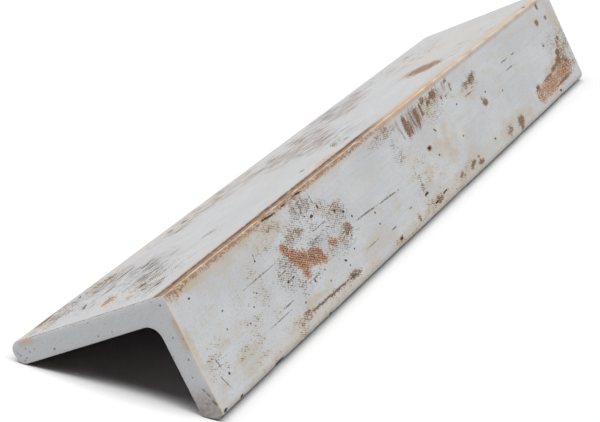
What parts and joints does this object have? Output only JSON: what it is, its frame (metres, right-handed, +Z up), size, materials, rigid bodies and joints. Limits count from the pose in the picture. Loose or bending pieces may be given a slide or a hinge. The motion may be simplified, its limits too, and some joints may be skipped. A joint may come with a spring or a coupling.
{
  "type": "aluminium angle bar",
  "caption": "Straight offcut of unequal angle bar with a rounded inner root, rounded toes and square sawn ends, used as framing, edging or bracing stock.",
  "frame": {"origin": "on the floor, under the middle of the bar's outer box, with the bar lying heel up on its two toes", "axes": "+Y along the bar, +Z up, long leg falling towards -X and short leg towards +X"},
  "size_m": [0.0574, 0.235, 0.0283],
  "materials": {
    "weathered_aluminium": "dull mill finish, pale grey, with brown stains and pitting"
  },
  "bodies": {
    "root": {"angle_bar": "weathered_aluminium"}
  },
  "joints": []
}
